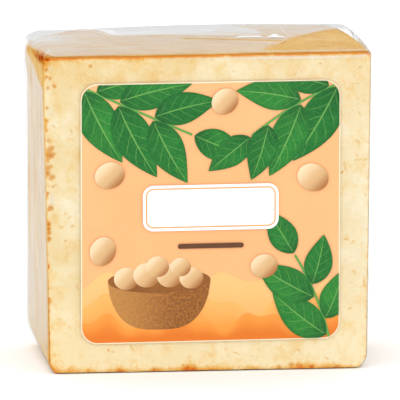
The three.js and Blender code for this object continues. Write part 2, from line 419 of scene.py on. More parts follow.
# the tofu
tofu = {
    "clearance": 0.14,           # between the block and its film
    "corners": {
        "bottomLeft": (2.6, 8.6, 1.0), "bottomRight": (3.6, 7.6, 1.0),
        "topRight": (1.0, 8.2, 1.05), "topLeft": (1.5, 7.0, 3.0),
    },
    "hollow": (1.55, -20.5, 6.5, 2.6),       # where the film stands off the top: depth, from, to, softness
    "frontRadius": 0.6,
    "backRadius": 6.9,
    "swellHeights": (66, 72),
    "seed": 11,
    "steps": {"arc": 12, "sides": (180, 180, 180, 180), "frontRound": 5, "wall": 50, "backRound": 10},
    "frontBands": [(8.6, 0.31), (12.0, 1.1), (38.8, 4.0)],
    "backBands": [(3.0, 0.6), (38.8, 1.9)],
    "relief": {"waves": 0.10, "lumps": 0.04, "curd": 0.03, "crumble": 0.16, "pits": 0.08},
    "crackHalfWidth": 0.16,
    "creamColour": srgb(226, 205, 157),
    "paleColour": srgb(232, 219, 184),
    "milkColour": srgb(238, 229, 206),
    # paler colour painted at the foot of the face: painted light against the shade near the floor
    "paintedFootLight": srgb(243, 227, 186),
    "smokeTint": (0.90, 0.525, 0.17, 1),      # what one measure of smoke lets through
    "skinTint": (0.745, 0.52, 0.235, 1),      # the same on the browned skin of the other sides
    "markTint": (0.82, 0.50, 0.24, 1),        # and in the brown marks
    "charTint": (0.58, 0.42, 0.32, 1),
    # measures of smoke in the shader
    "smoke": {"blotches": 0.24, "curd": 0.10, "flecks": 0.12, "squiggles": 0.24, "skin": 0.67, "edges": 2.0,
              "cracks": 0.45, "top": 0.08, "most": 1.85},
    "spots": {"ragged": 1.5, "body": 0.55, "wash": 0.40, "core": 1.7},
    # browning by the distance from an edge or corner: strength, reach
    "glows": {
        "bottom": (0.50, 1.0), "bottomLeft": (0.26, 1.0),
        "left": (0.90, 0.55), "leftFoot": (0.35, 0.55), "leftWide": (0.20, 2.4), "footCorner": (0.12, 4.5),
        "top": (0.95, 0.66), "topWide": (0.28, 1.9), "topWideLeft": (0.20, 1.9), "topCorner": (0.22, 2.6),
        "right": (0.40, 0.35), "rightWide": (0.12, 2.0), "back": (0.80, 1.6),
        "rim": (0.10, 0.9), "topRim": (0.70, 0.9), "footRim": (0.55, 2.5), "fold": (0.80, 1.5), "sideTop": (0.60, 1.0),
    },
    "rimSmoke": {"plain": 0.02, "patches": 0.20, "topRight": 0.15},
    "foldAt": (-40.2, 7, 77.0),               # the browned fold at the top left: across, depth, height
    # glows along the foot of the front: across from the middle, half width, height, strength
    "footGlows": [
        (-36.0, 6.0, 1.6, 0.22), (-21.5, 2.0, 1.1, 0.40), (-12.0, 2.2, 0.8, 0.35), (-4.2, 2.0, 1.7, 1.0),
        (1.5, 3.6, 1.5, 0.55), (11.0, 3.0, 0.8, 0.30), (24.0, 5.5, 1.6, 0.55), (32.5, 4.0, 0.8, 0.50),
    ],
    # brown marks: across from the middle, depth behind the front, height, size, strength
    "marks": [
        (-40.2, 4.5, 76.8, 0.75, 1.5), (-40.2, 8.5, 76.1, 0.60, 1.35), (-40.2, 9.0, 75.3, 0.55, 1.2),
        (-40.2, 13.0, 75.7, 0.6, 0.85), (-40.2, 5.5, 76.2, 0.50, 1.2), (-40.2, 17.5, 74.9, 0.50, 0.8),
        (-40.2, 20.0, 75.4, 0.70, 0.6), (-39.7, 0.3, 77.3, 0.5, 1.2), (-39.2, 0.0, 77.0, 0.45, 1.2),
        (-38.8, 0.0, 76.9, 0.30, 1.0), (-40.2, 2.5, 74.2, 0.5, 0.6), (-39.4, 0.2, 74.4, 0.5, 0.7),
        (-39.1, 0.1, 72.6, 0.4, 0.7), (-38.4, 0.0, 72.2, 0.40, 0.8), (-37.3, 0.0, 70.5, 0.50, 0.9),
        (-39.0, 0.0, 69.9, 0.50, 0.6), (-33.3, 0.0, 70.1, 0.50, 0.30), (-28.7, 0.0, 75.2, 0.42, 0.8),
        (-39.2, 0.1, 65.1, 0.40, 0.7), (-39.1, 0.1, 61.9, 0.45, 0.6), (-39.2, 0.1, 59.7, 0.50, 0.7),
        (-38.7, 0.0, 57.2, 0.5, 0.55), (-38.3, 0.0, 55.1, 0.9, 0.75), (-38.2, 0.0, 53.6, 1.0, 0.9),
        (-38.9, 0.0, 52.0, 0.7, 0.6), (-38.8, 0.0, 50.6, 1.0, 0.7), (-38.9, 0.0, 49.1, 1.0, 0.85),
        (-38.0, 0.0, 48.2, 0.8, 0.9), (-37.6, 0.0, 45.9, 0.4, 0.7), (-38.4, 0.0, 46.0, 0.35, 0.6),
        (-36.9, 0.0, 46.3, 0.35, 0.5), (-38.9, 0.1, 44.2, 0.45, 0.6), (-38.1, 0.0, 40.7, 0.7, 0.8),
        (-38.6, 0.0, 40.3, 0.5, 0.7), (-38.7, 0.0, 36.8, 0.5, 0.9), (-38.5, 0.0, 35.6, 0.5, 0.95),
        (-38.4, 0.0, 34.7, 0.5, 0.8), (-38.6, 0.0, 33.1, 0.6, 0.8), (-34.4, 0.0, 32.7, 0.35, 0.5),
        (-38.9, 0.1, 29.5, 0.35, 0.5), (-38.8, 0.1, 26.5, 0.45, 0.65), (-38.9, 0.1, 24.8, 0.4, 0.6),
        (-38.8, 0.1, 21.0, 0.45, 0.65), (-38.7, 0.1, 18.4, 0.4, 0.55), (-38.7, 0.1, 15.6, 0.5, 0.65),
        (-38.6, 0.1, 10.0, 0.5, 0.7), (-38.5, 0.1, 7.4, 0.5, 0.6), (-38.2, 0.1, 3.4, 0.6, 0.6),
        (-24.0, 0.0, 5.6, 0.4, 0.40), (-22.9, 0.0, 5.3, 0.4, 0.45), (-5.9, 0.1, 1.5, 0.5, 0.55),
        (-4.9, 0.1, 0.9, 0.7, 0.60), (-3.2, 0.1, 0.6, 0.8, 0.5), (-13.0, 0.1, 0.4, 0.9, 0.5),
        (-21.0, 0.1, 0.5, 0.9, 0.45), (20.6, 0.1, 1.2, 0.6, 0.7), (22.6, 0.1, 0.9, 0.8, 0.6),
        (25.6, 0.1, 0.6, 0.6, 0.9), (17.6, 0.1, 0.5, 0.8, 0.5), (4.6, 0.0, 5.4, 0.30, 0.5),
        (31.5, 0.1, 0.4, 0.9, 0.5), (38.8, 0.0, 3.0, 0.5, 0.35), (27.0, 0.0, 75.0, 0.30, 0.6),
        (6.0, 0.0, 73.4, 0.25, 0.4), (-12.0, 0.0, 75.4, 0.25, 0.35), (39.0, 0.1, 30.0, 0.4, 0.4),
        (39.1, 0.1, 47.0, 0.4, 0.5), (39.2, 0.1, 55.5, 0.35, 0.5), (39.1, 0.1, 12.5, 0.5, 0.45),
        (32.6, 0.0, 48.3, 0.35, 0.7), (35.7, 0.0, 70.0, 0.25, 0.5), (38.9, 0.0, 65.0, 0.6, 0.2),
        (35.8, 0.0, 42.0, 1.3, 0.16), (33.6, 0.0, 26.6, 0.35, 0.35),
    ],
    "sidePull": 0.30,                         # marks on the left side run towards the back
    # fine cracks on the front: start, end, depth
    "cracks": [
        (35.9, 56.4, 36.9, 54.9, 0.05), (35.9, 52.8, 36.5, 52.0, 0.05), (37.1, 51.5, 39.2, 51.2, 0.04),
        (33.0, 50.9, 33.7, 48.5, 0.03), (35.6, 51.0, 37.6, 51.6, 0.03), (37.9, 43.0, 38.8, 42.4, 0.03),
        (33.2, 45.6, 33.7, 45.4, 0.04), (33.1, 32.0, 34.4, 31.8, 0.07), (34.8, 30.8, 36.2, 31.6, 0.02),
        (35.4, 24.2, 35.8, 23.6, 0.05), (34.4, 14.6, 35.2, 14.9, 0.02), (-36.2, 36.0, -34.9, 36.1, 0.02),
        (-33.2, 36.4, -32.4, 36.3, 0.02), (-34.0, 38.0, -33.4, 38.6, 0.04), (-36.2, 13.7, -35.0, 13.2, 0.05),
        (-33.4, 60.0, -33.1, 58.9, 0.03), (-18.6, 7.0, -17.8, 5.0, 0.04), (36.4, 63.0, 36.9, 62.0, 0.03),
        (6.4, 4.4, 8.0, 3.9, 0.04), (22.0, 5.0, 22.6, 4.4, 0.05), (29.0, 2.6, 29.6, 2.2, 0.05),
        (-31.8, 22.0, -31.4, 20.4, 0.03), (38.0, 22.0, 38.3, 20.2, 0.03), (-34.6, 39.6, -34.2, 38.9, 0.04),
        (-37.8, 61.0, -36.9, 60.0, 0.03),
    ],
}


def distanceToLine(px, pz, line):
    ax, az, bx, bz = line[:4]
    length = math.hypot(bx - ax, bz - az)
    ux, uz = (bx - ax) / length, (bz - az) / length
    along = np.clip((px - ax) * ux + (pz - az) * uz, 0, length)
    away = np.hypot(px - ax - ux * along, pz - az - uz * along)
    return away, along / length


def edgeDistances(x, z):
    # how far a place on the front is from the left, right, top and bottom edges
    up = z / 77.6
    leftEdge, rightEdge = [low + (high - low) * up for low, high in (pack["front"]["left"], pack["front"]["right"])]
    topEdge = 77.65 + 0.15 * x / pack["halfWidth"]
    return x - leftEdge, rightEdge - x, topEdge - z, z


def tofuRelief(points, x, z, nearest, frontness, faceness):
    # how far each place is worn in, and where the cracks are
    seed, relief = tofu["seed"], tofu["relief"]
    lumps = softPatches(points, 2.3, seed + 1)
    inward = relief["waves"] * softPatches(points, 11.0, seed)
    inward += relief["lumps"] * lumps + relief["curd"] * softPatches(points, 0.9, seed + 2)
    inward += relief["crumble"] * fadeOff(np.maximum(nearest, 0), 1.2) * faceness * smoothStep(0.35, 0.9, lumps)
    pits = smoothStep(0.72, 0.95, softPatches(points, 1.3, seed + 3))
    inward += relief["pits"] * pits * (0.4 + 0.6 * softNoise(points, 7.0, seed + 4))
    cracks = np.zeros(len(points))
    wanderX, wanderZ = [0.25 * softNoise(points, 1.1, number) for number in (5, 6)]
    for line in tofu["cracks"]:
        away, share = distanceToLine(x + wanderX, z + wanderZ, line)
        taper = np.sqrt(np.clip(4 * share * (1 - share), 0.05, 1))
        depth = fadeOff(away, tofu["crackHalfWidth"], 2) * taper * frontness
        cracks = np.maximum(cracks, depth)
        inward += line[4] * depth
    return np.maximum(inward, 0), cracks


def tofuBrowning(points, normal, x, deep, z, edges, frontness, backness):
    # how brown the smoke has left each place
    fromLeft, fromRight, fromTop, fromBottom = edges
    nearest = np.minimum.reduce(edges)
    belowTop = np.maximum(fromTop, 0)

    def glow(name, distance, power=1):
        strength, reach = tofu["glows"][name]
        return strength * fadeOff(distance, reach, power)

    breakUp = softPatches(points, (1.6, 3.0, 2.4), tofu["seed"] + 7)
    patchy = softPatches(points, (5.0, 5.0, 7.0), tofu["seed"] + 8)
    torn = smoothStep(0.48, 0.78, softPatches(points, (1.0, 2.0, 1.7), tofu["seed"] + 9))
    leanLeft = 1 - smoothStep(-39, 39, x)

    face = glow("bottom", fromBottom) + glow("bottomLeft", fromBottom) * leanLeft
    face *= (0.5 + 0.9 * breakUp) * smoothStep(-0.3, 0.5, fromBottom)
    for across, halfWidth, tall, strength in tofu["footGlows"]:
        face += strength * fadeOff(x - across, halfWidth, 2) * fadeOff(fromBottom, tall)
    face += glow("left", fromLeft) * torn + glow("leftFoot", fromLeft) * (1 - smoothStep(3, 24, z))
    face += glow("leftWide", fromLeft) * patchy + glow("footCorner", np.hypot(fromLeft, fromBottom))
    face += glow("top", belowTop, 2) * (0.35 + 1.1 * breakUp)
    face += (glow("topWide", belowTop) + glow("topWideLeft", belowTop) * leanLeft) * (0.35 + 0.9 * patchy)
    face += glow("right", fromRight) * (0.5 + breakUp) + glow("rightWide", fromRight) * patchy
    face += glow("topCorner", np.hypot(x + 39.3, z - 75.5))
    back = glow("back", np.maximum(nearest - 1.0, 0)) * (0.4 + patchy)

    # the other sides: brown along the front edge, at the foot on the left and in the fold at the top left
    plain = tofu["rimSmoke"]
    upward = smoothStep(0.3, 0.6, normal[:, 2])
    leftSide = smoothStep(0.25, 0.7, -normal[:, 0])
    behind = np.maximum(deep - 0.2, 0)
    rim = plain["plain"] + plain["patches"] * patchy + plain["topRight"] * smoothStep(22, 37, x) * upward
    rim += glow("rim", behind, 2) + glow("topRim", behind, 2) * upward * (0.4 + 1.2 * breakUp)
    rim += glow("footRim", deep, 2) * leftSide * (1 - smoothStep(3, 30, z))
    foldX, foldDeep, foldZ = tofu["foldAt"]
    fromFold = np.hypot(0.8 * (x - foldX), np.hypot(1.3 * (z - foldZ + 0.08 * deep), 0.12 * (deep - foldDeep)))
    rim += glow("fold", fromFold, 2) * (0.45 + breakUp)
    along = np.abs(z - foldZ + 0.05 * deep)
    rim += glow("sideTop", along) * leftSide * fadeOff(np.maximum(deep - 3, 0), 16) * (0.5 + breakUp)
    skin = 1 - frontness - backness
    return frontness * np.clip(face, 0, 1) + backness * np.clip(back, 0, 1) + skin * rim


def tofuMarks(points, x, deep, z):
    marks = np.zeros(len(points))
    ragged = 0.45 * softNoise(points, 0.8, 21)
    for across, depth, height, size, strength in tofu["marks"]:
        pull = tofu["sidePull"] if depth > 1 else 1.0
        away = np.sqrt((x - across) ** 2 + (pull * (deep - depth)) ** 2 + (z - height) ** 2) + ragged * size
        marks = np.maximum(marks, strength * (1 - smoothStep(size * 0.2, size * 1.7, away)))
    return marks


def makeTofu():
    form = dict(pack, corners=tofu["corners"], frontRadius=tofu["frontRadius"], backRadius=tofu["backRadius"],
                hollow=tofu["hollow"])
    grid = blockGrid(form, tofu)
    points, normal, x, deep, z = readGrid(grid)
    frontness, backness = [smoothStep(0.3, 0.9, way * normal[:, 1]) for way in (-1, 1)]
    edges = edgeDistances(x, z)

    # relief goes only inwards, so that the block stays inside its film
    nearest = np.minimum.reduce(edges)
    inward, cracks = tofuRelief(points, x, z, nearest, frontness, np.maximum(frontness, backness))
    inward += tofu["clearance"] - swell(smoothStep(0.5, 0.9, -normal[:, 0]), deep, z, tofu["swellHeights"])
    moved = points - normal * inward[:, None]
    moved[:, 2] = np.maximum(moved[:, 2], tofu["clearance"])
    piece = ringPiece("tofu_block", moved, *grid.shape[:2])

    skin = 1 - frontness - backness
    skin *= 1 - smoothStep(0.25, 0.7, -normal[:, 0]) * (0.12 + 0.22 * (1 - smoothStep(60, 72, z)))
    browned = tofuBrowning(points, normal, x, deep, z, edges, frontness, backness)
    for name, values in (("browned", browned), ("marks", tofuMarks(points, x, deep, z)),
                         ("skin", np.clip(skin, 0, 1)), ("cracks", cracks)):
        paintValues(piece, name, values, 0.0)
    return piece


def stained(tree, colour, tint, amount):
    # the tint to the power of the amount, so that twice the smoke goes twice as deep
    through = addNode(tree, "ShaderNodeGamma", Color=tint, Gamma=amount).outputs[0]
    return mixColour(tree, 1.0, colour, through, "MULTIPLY")


def makeTofuMaterial():
    material, tree = newMaterial("smokedTofu")
    place = objectPlace(tree)
    browned, marks, cracks, skin = [attributeValue(tree, name) for name in ("browned", "marks", "cracks", "skin")]
    smokeOf, spotOf = tofu["smoke"], tofu["spots"]
    cloud = noiseValue(tree, place, 90.0, 4.0, 0.55)
    patch = noiseValue(tree, place, 230.0, 4.0, 0.6)
    curd = noiseValue(tree, place, 800.0, 4.0, 0.6)
    fleck = noiseValue(tree, place, 2000.0, 3.0, 0.65)
    faceOnly = minus(tree, 1.0, skin)
    curdRough, fleckRough = minus(tree, curd, 0.5), minus(tree, fleck, 0.5)
    parts = addNode(tree, "ShaderNodeSeparateXYZ", Vector=place)
    across, height = parts.outputs["X"], parts.outputs["Z"]

    # the curd itself: cream, paler clouds, a few milky patches, paler to the right, and paler at the foot as painted
    # light against the shade near the floor
    colour = mixColour(tree, rampValue(tree, cloud, 0.35, 0.68), tofu["creamColour"], tofu["paleColour"])
    milky = times(tree, rampValue(tree, patch, 0.52, 0.36), rampValue(tree, cloud, 0.42, 0.62), 0.50)
    colour = mixColour(tree, milky, colour, tofu["milkColour"])
    colour = mixColour(tree, rampValue(tree, across, -0.01, 0.04, 0.22), colour, tofu["milkColour"])
    # painted light: the lowest part of the face is made paler to offset the shade near the floor
    low = times(tree, rampValue(tree, height, 0.030, 0.0), faceOnly, 0.65)
    colour = mixColour(tree, low, colour, tofu["paintedFootLight"])

    # smoke: faint blotches and flecks, hair-thin squiggles, the browned skin and edges
    lines = calc(tree, "ABSOLUTE", minus(tree, noiseValue(tree, place, 330.0, 4.0, 0.62, 0.8), 0.5))
    where = noiseValue(tree, place, 150.0)
    squiggle = rampValue(tree, lines, 0.020, 0.004, smokeOf["squiggles"])
    ragged = plus(tree, browned, times(tree, curdRough, 0.55), times(tree, fleckRough, 0.45))
    smoke = plus(
        tree,
        rampValue(tree, patch, 0.48, 0.72, smokeOf["blotches"]),
        rampValue(tree, curd, 0.50, 0.76, smokeOf["curd"]),
        rampValue(tree, fleck, 0.54, 0.78, smokeOf["flecks"]),
        times(tree, squiggle, rampValue(tree, where, 0.50, 0.62), faceOnly),
        times(tree, skin, smokeOf["skin"]),
        rampValue(tree, ragged, 0.10, 1.10, smokeOf["edges"]),
        times(tree, cracks, smokeOf["cracks"]),
        rampValue(tree, height, 0.062, 0.076, smokeOf["top"]))
    tint = mixColour(tree, skin, tofu["smokeTint"], tofu["skinTint"])
    colour = stained(tree, colour, tint, calc(tree, "MINIMUM", smoke, smokeOf["most"]))

    # the brown marks: a wash, a ragged body and a dark core
    broken = plus(tree, marks, times(tree, fleckRough, spotOf["ragged"]))
    body = times(tree, rampValue(tree, broken, 0.22, 0.75), rampValue(tree, marks, 0.02, 0.30), spotOf["body"])
    core = times(tree, rampValue(tree, broken, 0.75, 1.25), rampValue(tree, marks, 0.55, 1.1), spotOf["core"])
    spots = plus(tree, body, rampValue(tree, marks, 0.0, 0.6, spotOf["wash"]), core)
    colour = stained(tree, colour, tofu["markTint"], spots)

    # the cracks and a few tiny specks
    cells = addNode(tree, "ShaderNodeTexVoronoi", {"feature": "F1"}, Vector=place, Scale=330.0)
    speck = rampValue(tree, cells.outputs["Distance"], 0.09, 0.03, 0.5)
    speck = times(tree, speck, rampValue(tree, where, 0.46, 0.60))
    char = plus(tree, speck, times(tree, cracks, 0.22), times(tree, skin, 0.10))
    colour = stained(tree, colour, tofu["charTint"], char)

    relief = minus(tree, plus(tree, times(tree, curd, 0.7), times(tree, fleck, 0.3)), speck)
    bump = addNode(tree, "ShaderNodeBump", Strength=0.35, Distance=0.0002, Height=relief)
    shader = addNode(
        tree, "ShaderNodeBsdfPrincipled", Base_Color=colour, Normal=bump.outputs[0],
        Roughness=mapValue(tree, curd, 0.3, 0.7, 0.42, 0.62), Specular_IOR_Level=0.0, Subsurface_Weight=0.12,
        Subsurface_Radius=(0.8, 0.5, 0.25), Subsurface_Scale=0.0015)
    finishTree(tree, shader)
    return material


tofuBlock = makeTofu()
tofuBlock.data.materials.append(makeTofuMaterial())
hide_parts("sealed_block")
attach(tofuBlock, "root")
print("tofu block made")


# the film
film = {
    "seed": 40,
    "corners": {"bottomLeft": (2.4, 8.0, 1.0), "bottomRight": (3.4, 7.0, 1.0)},
    "steps": {"arc": 10, "sides": (50, 80, 250, 100), "frontRound": 6, "wall": 112, "backRound": 14},
    "frontBands": [(2.4, 0.2), (7.0, 0.8), (38.8, 4.0)],
    "backBands": [(38.8, 1.3)],
    "swellHeights": (62, 70),
    "lift": 0.02,
    "ripple": {"top": 0.06, "sides": 0.08},
    "shine": (0.66, 0.66, 0.66, 1),
    "clear": (0.992, 0.992, 0.992, 1),
    "roughness": (0.09, 0.18),   # between the streaks and in them
    # white of the milky film, also the colour of the painted highlights
    "milk": (0.80, 0.80, 0.79, 1),
    # creases on the top: from (across, depth behind the front), to, height, half width, whiteness of the painted
    # highlight
    "topCreases": [
        (-39.6, 22.8, -29.4, 32.8, 0.24, 0.40, 0.75), (-39.8, 21.5, -38.3, 16.8, 0.18, 0.30, 0.55),
        (-37.6, 7.8, -39.6, 1.4, 0.14, 0.36, 0.50), (-39.6, 2.4, -40.3, 27.0, 0.16, 0.35, 0.30),
        (-38.6, 6.5, -36.9, 4.6, 0.14, 0.30, 0.80), (-38.6, 4.2, -37.6, 1.0, 0.10, 0.40, 0.50),
        (-24.0, 30.5, -20.9, 20.2, 0.12, 0.40, 0.35), (-31.0, 32.0, -22.0, 34.0, 0.12, 0.50, 0.25),
        (8.5, 17.5, 14.9, 16.6, 0.16, 0.30, 0.85), (16.6, 15.7, 18.3, 19.4, 0.14, 0.30, 0.60),
        (18.3, 19.4, 20.5, 15.7, 0.14, 0.30, 0.60), (16.6, 15.7, 20.5, 15.7, 0.16, 0.35, 0.80),
        (14.5, 9.9, 18.6, 9.0, 0.14, 0.28, 0.75), (20.8, 27.0, 21.7, 15.2, 0.12, 0.30, 0.45),
        (21.7, 15.2, 16.6, 6.2, 0.12, 0.30, 0.40), (24.4, 17.0, 29.3, 22.4, 0.18, 0.35, 0.60),
        (21.7, 15.0, 35.0, 12.0, 0.06, 0.50, 0.15), (-17.6, 22.0, 7.6, 18.2, 0.10, 0.40, 0.15),
        (7.0, 22.0, 16.0, 21.0, 0.10, 0.45, 0.30), (2.0, 34.0, 20.0, 24.0, 0.10, 0.45, 0.20),
        (-12.0, 8.0, -2.0, 6.4, 0.05, 0.45, 0.15), (-33.0, 12.0, -14.0, 8.0, 0.05, 0.60, 0.12),
        (-36.0, 14.0, -24.0, 18.0, 0.06, 0.50, 0.18), (-6.5, 13.5, 0.0, 11.2, 0.06, 0.35, 0.25),
        (34.2, 34.0, 39.0, 6.0, 0.03, 0.50, 0.22), (26.0, 8.0, 33.0, 5.5, 0.05, 0.50, 0.15),
    ],
    # ridges on the front, and flat painted highlight lines where the height is nothing: from (across, height), to,
    # height, half width, whiteness of the painted highlight
    "frontCreases": [
        (-11.0, 76.60, 14.0, 76.65, 0.0, 0.40, 0.25), (2.0, 76.65, 37.5, 76.50, 0.0, 0.55, 0.50),
        (33.0, 76.4, 39.4, 77.1, 0.0, 0.45, 0.45), (-39.2, 73.0, -38.6, 70.6, 0.04, 0.35, 0.20),
        (-38.9, 75.6, -38.0, 74.2, 0.04, 0.50, 0.35), (-39.3, 69.6, -38.5, 68.4, 0.04, 0.30, 0.25),
        (-38.9, 57.5, -38.6, 55.0, 0.07, 0.25, 0.40), (-38.0, 44.8, -37.9, 41.2, 0.0, 1.20, 0.25),
        (-38.5, 65.4, -38.3, 63.2, 0.0, 1.00, 0.22), (38.8, 50.0, 39.1, 36.0, 0.06, 0.25, 0.10),
    ],
    # creases on the sides; their white is a painted highlight
    "sideCreases": {"count": 26, "length": (8.0, 30.0), "slant": 0.18, "height": (0.05, 0.14), "width": (0.3, 0.7),
                    "white": (0.0, 0.22)},
    # painted glints on the top, white patches: corners as (across, depth behind the front), whiteness
    "glints": [
        ((16.6, 15.6), (18.3, 19.4), (20.5, 15.6), 0.9),
        ((8.0, 16.0), (9.4, 17.0), (15.4, 17.6), (15.0, 16.2), 0.75),
    ],
    "fray": (0.9, 0.4),          # how ragged the glints are, across and in depth
    # the clear part at the right of the top: its edge across (at the front, slope, bend), how clear, unevenness
    "clearTop": {"edge": (12.0, 0.45, 0.014), "amount": 0.87, "uneven": 0.10},
    # clear streaks over the top: from, to, softness; depth in the middle, slope, half width; how clear
    "clearStreaks": [(-4.5, 19.0, 1.0, 15.4002, -0.186, 0.75, 0.8), (-12.0, -5.0, 0.8, 20.7, 0.0, 0.5, 0.5)],
    # the clear wedge high up on the left side: its lower and upper line as (height, slope), strip, depth
    "clearWedge": {"low": (69.0, 0.175), "high": (78.4, -0.09), "strip": 1.4, "stripHeights": (46, 67),
                   "deep": (27, 30), "amount": 0.95},
    "clearSpot": {"across": -39.8, "deep": 1.5, "height": 77.0, "size": 1.8, "amount": 0.9},
    # how much weaker the veil is there
    "lessVeil": {"backCorner": 0.45, "left": 0.22, "front": 0.65, "topRim": 0.6, "leftRim": 0.6, "foot": 0.55},
    "unevenVeil": {"top": 0.20, "left": 0.22},
    # milky places: more veil, whiteness
    "milky": {"band": (0.55, 0.06), "corners": (0.45, 0.10), "rightCorner": (0.50, 0.0), "shoulder": (0.50, 0.12),
              "back": (0.0, 0.05)},
}


def creaseRelief(u, v, creases, swing=0.16):
    # height of the creases, and the painted highlight along them
    height, white = np.zeros(len(u)), np.zeros(len(u))
    wander = swing * softNoise(np.stack([u, v, u * 0], 1), 2.4, 91)
    for line in creases:
        away, share = distanceToLine(u, v + wander, line)
        taper = np.sqrt(np.clip(4 * share * (1 - share), 0, 1))
        height += line[4] * fadeOff(away, line[5]) * taper
        white = np.maximum(white, line[6] * fadeOff(away, 0.55 * line[5], 2) * taper)
    return height, white


def insideCorners(u, v, corners, soft):
    # 1 well inside, falling off softly at the sides
    least = np.full(len(u), 99.0)
    centre = np.mean(corners, axis=0)
    for start, end in zip(corners, corners[1:] + corners[:1]):
        along = np.array([end[0] - start[0], end[1] - start[1]])
        inwards = np.array([-along[1], along[0]]) / np.linalg.norm(along)
        if np.dot(centre - np.array(start), inwards) < 0:
            inwards = -inwards
        least = np.minimum(least, (u - start[0]) * inwards[0] + (v - start[1]) * inwards[1])
    return smoothStep(-soft, soft, least)


def drawSideCreases(draw, nearest, furthest):
    side, creases = film["sideCreases"], []
    for _ in range(side["count"]):
        u, v = draw.uniform(nearest, furthest), draw.uniform(2.0, 73.0)
        length, angle = draw.uniform(*side["length"]), draw.normal(math.pi / 2, side["slant"])
        creases.append((u, v, u + length * math.cos(angle), v + length * math.sin(angle),
                        *[draw.uniform(*side[name]) for name in ("height", "width", "white")]))
    return creases


def filmRelief(points, x, deep, z, sides):
    # how far the film stands out, and the painted highlight on its creases
    outward, hazeAndHighlight = np.full(len(points), film["lift"]), np.zeros(len(points))
    for mask, u, v, creases, swing in (
        (sides["top"], x, deep, film["topCreases"], 0.16), (sides["front"], x, z, film["frontCreases"], 0.05),
    ):
        height, white = creaseRelief(u, v, creases, swing)
        outward += mask * height
        hazeAndHighlight = np.maximum(hazeAndHighlight, mask * white)
    outward += sides["top"] * film["ripple"]["top"] * softPatches(points, (9.0, 4.0, 9.0), film["seed"])

    draw = np.random.default_rng(film["seed"])
    ripple = film["ripple"]["sides"] * softPatches(points, (9.0, 3.5, 22.0), film["seed"] + 3)
    for name, u, nearest, furthest in (("left", deep, 2.0, 34.0), ("right", deep, 2.0, 34.0), ("back", x, -39.0, 39.0)):
        height, white = creaseRelief(u, z, drawSideCreases(draw, nearest, furthest))
        outward += sides[name] * (height + ripple)
        hazeAndHighlight = np.maximum(hazeAndHighlight, sides[name] * white)
    outward += swell(sides["left"], deep, z, film["swellHeights"])
    return outward * (1 - sides["bottom"]), hazeAndHighlight


def filmWedge(deep, z):
    wedge = film["clearWedge"]
    low, lowSlope = wedge["low"]
    high, highSlope = wedge["high"]
    strip = wedge["strip"] * smoothStep(*wedge["stripHeights"], z)
    inside = smoothStep(-0.5, 0.5, z - low - lowSlope * deep)
    inside = np.maximum(inside, 1 - smoothStep(strip - 0.6, strip + 0.6, deep))
    inside *= 1 - smoothStep(-0.5, 0.5, z - high - highSlope * deep)
    return inside * (1 - smoothStep(*wedge["deep"], deep))


def filmVeil(points, normal, x, deep, z, sides):
    # how much of the film's shine shows
    seed, less, uneven = film["seed"], film["lessVeil"], film["unevenVeil"]
    top, left, front = sides["top"], sides["left"], sides["front"]
    clear = film["clearTop"]
    start, slope, bend = clear["edge"]
    clearPart = smoothStep(-1.5, 1.5, x - (start + slope * deep + bend * deep ** 2)) * smoothStep(1.2, 3.0, deep)
    veil = 1 - top * clearPart * (clear["amount"] + clear["uneven"] * softNoise(points, (7.0, 1.6, 5.0), seed + 14))
    for low, high, soft, middle, slope, halfWidth, amount in film["clearStreaks"]:
        off = deep - middle - slope * x
        veil -= top * amount * inBand(x, low, high, soft) * inBand(off, -halfWidth, halfWidth, 0.3)
    veil -= film["clearWedge"]["amount"] * filmWedge(deep, z) * smoothStep(0.25, 0.6, -normal[:, 0])
    veil -= less["backCorner"] * left * fadeOff(np.hypot((z - 75.6) / 1.2, (deep - 29.0) / 8.0), 1, 2)
    spot = film["clearSpot"]
    fromSpot = np.hypot(x - spot["across"], np.hypot(0.5 * (deep - spot["deep"]), z - spot["height"]))
    veil -= spot["amount"] * fadeOff(fromSpot, spot["size"], 4)

    veil *= (1 - less["left"] * left) * (1 - less["front"] * front)
    veil *= 1 - less["topRim"] * top * (1 - smoothStep(0.5, 1.6, deep))
    veil *= 1 - less["leftRim"] * left * (1 - smoothStep(3, 30, z)) * fadeOff(deep, 2.5, 2)
    veil *= 1 - less["foot"] * (1 - smoothStep(0, 9, z)) * smoothStep(0.2, 0.6, -normal[:, 0])
    veil *= 1 + uneven["top"] * softNoise(points, (8.0, 2.4, 7.0), seed + 9) * top
    veil *= 1 + uneven["left"] * softNoise(points, (9.0, 3.0, 24.0), seed + 10) * left
    return veil


def milkyPlaces(points, normal, x, deep, z, sides):
    # a band over the top, the corners at the back, the left shoulder and the head of the back
    bandEnd = 36.5 - 1.25 * np.maximum(x - 6.0, 0)
    band = inBand(x, -19.5, 15.0, 1.0) * inBand(deep - (22.3 - 0.148 * (x + 18)), 0.0, 60.0, 0.4)
    band *= 1 - smoothStep(bandEnd - 0.8, bandEnd + 0.8, deep)
    band *= 0.85 + 0.15 * softNoise(points, (5.0, 1.6, 5.0), film["seed"] + 12)
    leftCorner = inBand(x + 39.0 - 0.95 * (deep - 23.5), -40.0, 0.0, 0.6) * smoothStep(22, 24, deep)
    rightCorner = smoothStep(31.0, 35.0, x + 0.25 * (deep - 36)) * smoothStep(14, 34, deep)
    shoulder = (1 - smoothStep(-38.5, -28.0, x + 0.25 * (deep - 22))) * smoothStep(10.0, 24.0, deep)
    shoulder *= smoothStep(74.8, 76.0, z) * (1 - filmWedge(deep, z) * smoothStep(0.25, 0.6, -normal[:, 0]))
    top = sides["top"]
    return {
        "band": top * band, "corners": top * np.maximum(leftCorner, rightCorner), "rightCorner": top * rightCorner,
        "shoulder": shoulder, "back": sides["back"] * smoothStep(66, 76, z),
    }


